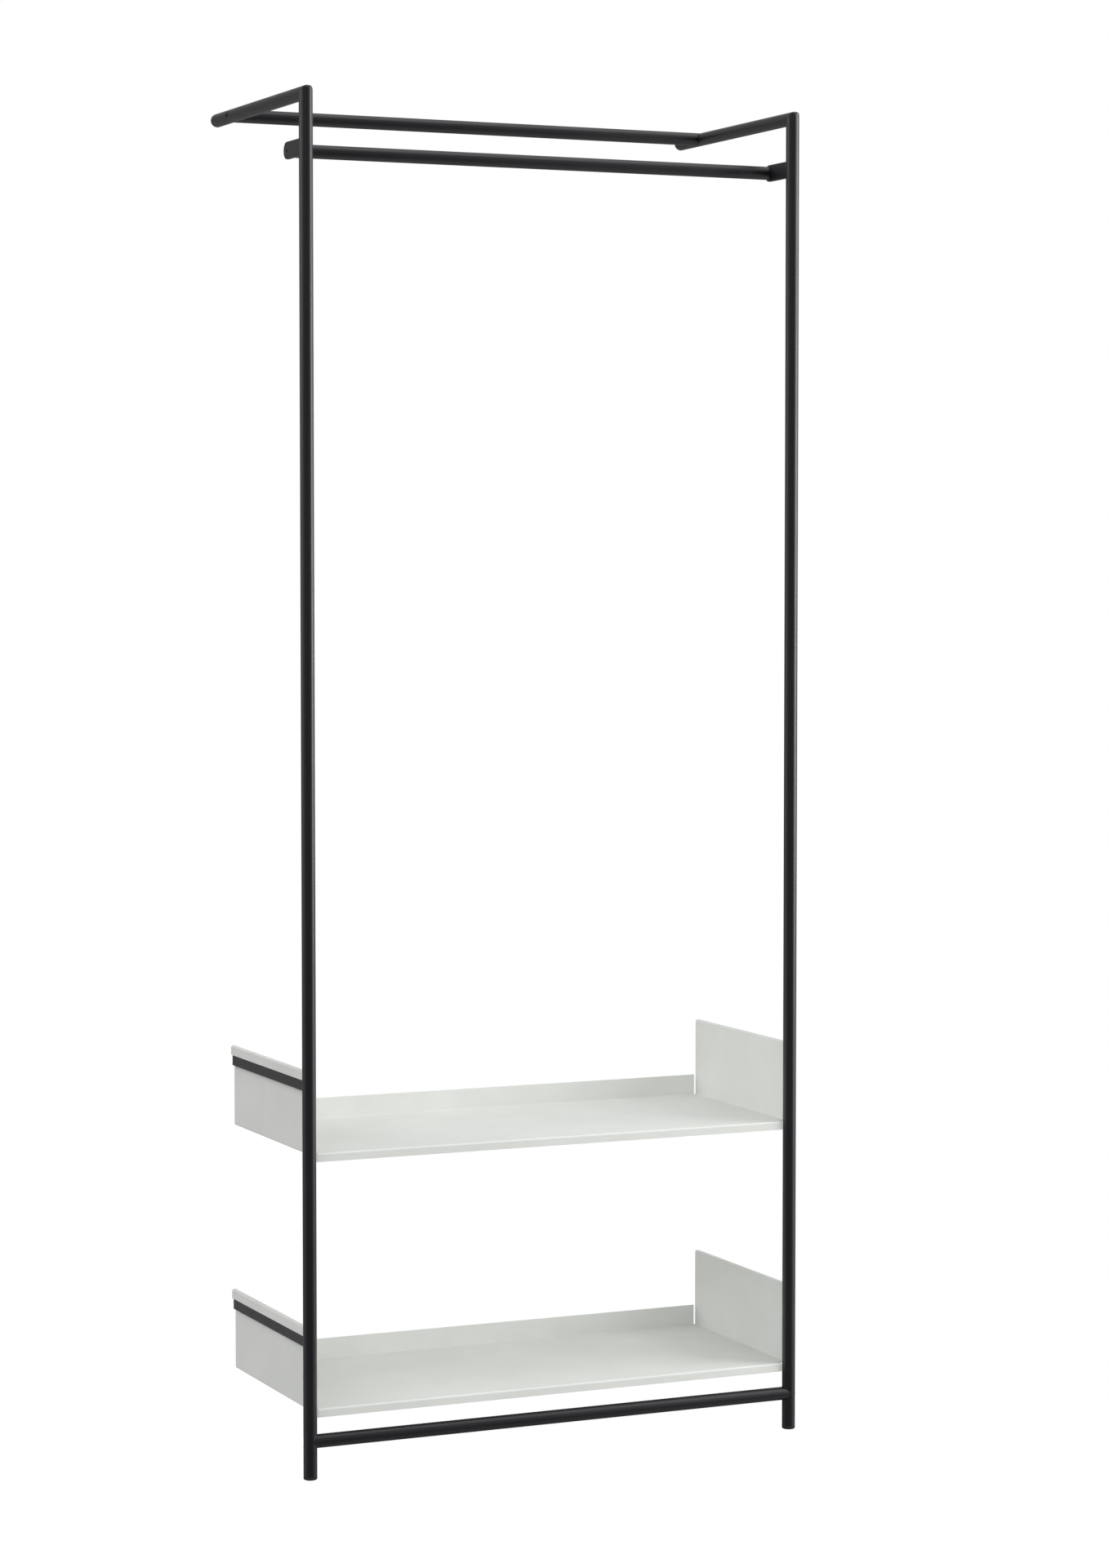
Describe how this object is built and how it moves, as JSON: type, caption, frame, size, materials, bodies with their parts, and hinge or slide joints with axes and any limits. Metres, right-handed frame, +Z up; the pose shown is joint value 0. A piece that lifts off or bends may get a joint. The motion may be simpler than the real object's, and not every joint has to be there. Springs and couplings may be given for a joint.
{
  "type": "garment rail",
  "caption": "Wall-leaning garment rail of slim round steel tube, with front and rear hanging rails on side frames and folded sheet shelves hooked on flat side bars.",
  "frame": {"origin": "on the floor, centred between the side frames and halfway between the front of the uprights and the wall", "axes": "+Z up, +Y towards the wall that the arms lean on, +X to the right for a person facing the rail"},
  "size_m": [0.8, 0.4, 2],
  "materials": {
    "frame_powder_coat": "fine-textured matte black powder coat on steel tube and bar",
    "shelf_powder_coat": "fine-textured satin warm light grey powder coat on folded steel sheet",
    "black_plastic": "moulded matte black plastic",
    "black_screw_steel": "black-coated steel",
    "zinc_steel": "zinc-plated turned steel"
  },
  "bodies": {
    "frame": {"left_upright": "frame_powder_coat", "left_top_arm": "frame_powder_coat", "left_arm_end_plug": "black_plastic", "left_foot_glide": "black_plastic", "left_rail_tab": "frame_powder_coat", "left_upper_shelf_bar": "frame_powder_coat", "left_lower_shelf_bar": "frame_powder_coat", "right_upright": "frame_powder_coat", "right_top_arm": "frame_powder_coat", "right_arm_end_plug": "black_plastic", "right_foot_glide": "black_plastic", "right_rail_tab": "frame_powder_coat", "right_upper_shelf_bar": "frame_powder_coat", "right_lower_shelf_bar": "frame_powder_coat", "rear_rail": "frame_powder_coat", "front_rail": "frame_powder_coat", "floor_bar": "frame_powder_coat", "rear_rail_screws": "black_screw_steel", "front_rail_screws": "black_screw_steel", "floor_bar_screws": "black_screw_steel", "rear_rail_inserts": "zinc_steel", "front_rail_inserts": "zinc_steel", "floor_bar_inserts": "zinc_steel"},
    "upper_shelf": {"upper_shelf": "shelf_powder_coat"},
    "lower_shelf": {"lower_shelf": "shelf_powder_coat"}
  },
  "joints": [
    {"name": "upper_shelf_lift", "type": "slide", "parent": "frame", "child": "upper_shelf", "axis": [0, 0, 1], "range_m": [0, 0.12]},
    {"name": "lower_shelf_lift", "type": "slide", "parent": "frame", "child": "lower_shelf", "axis": [0, 0, 1], "range_m": [0, 0.12]}
  ]
}
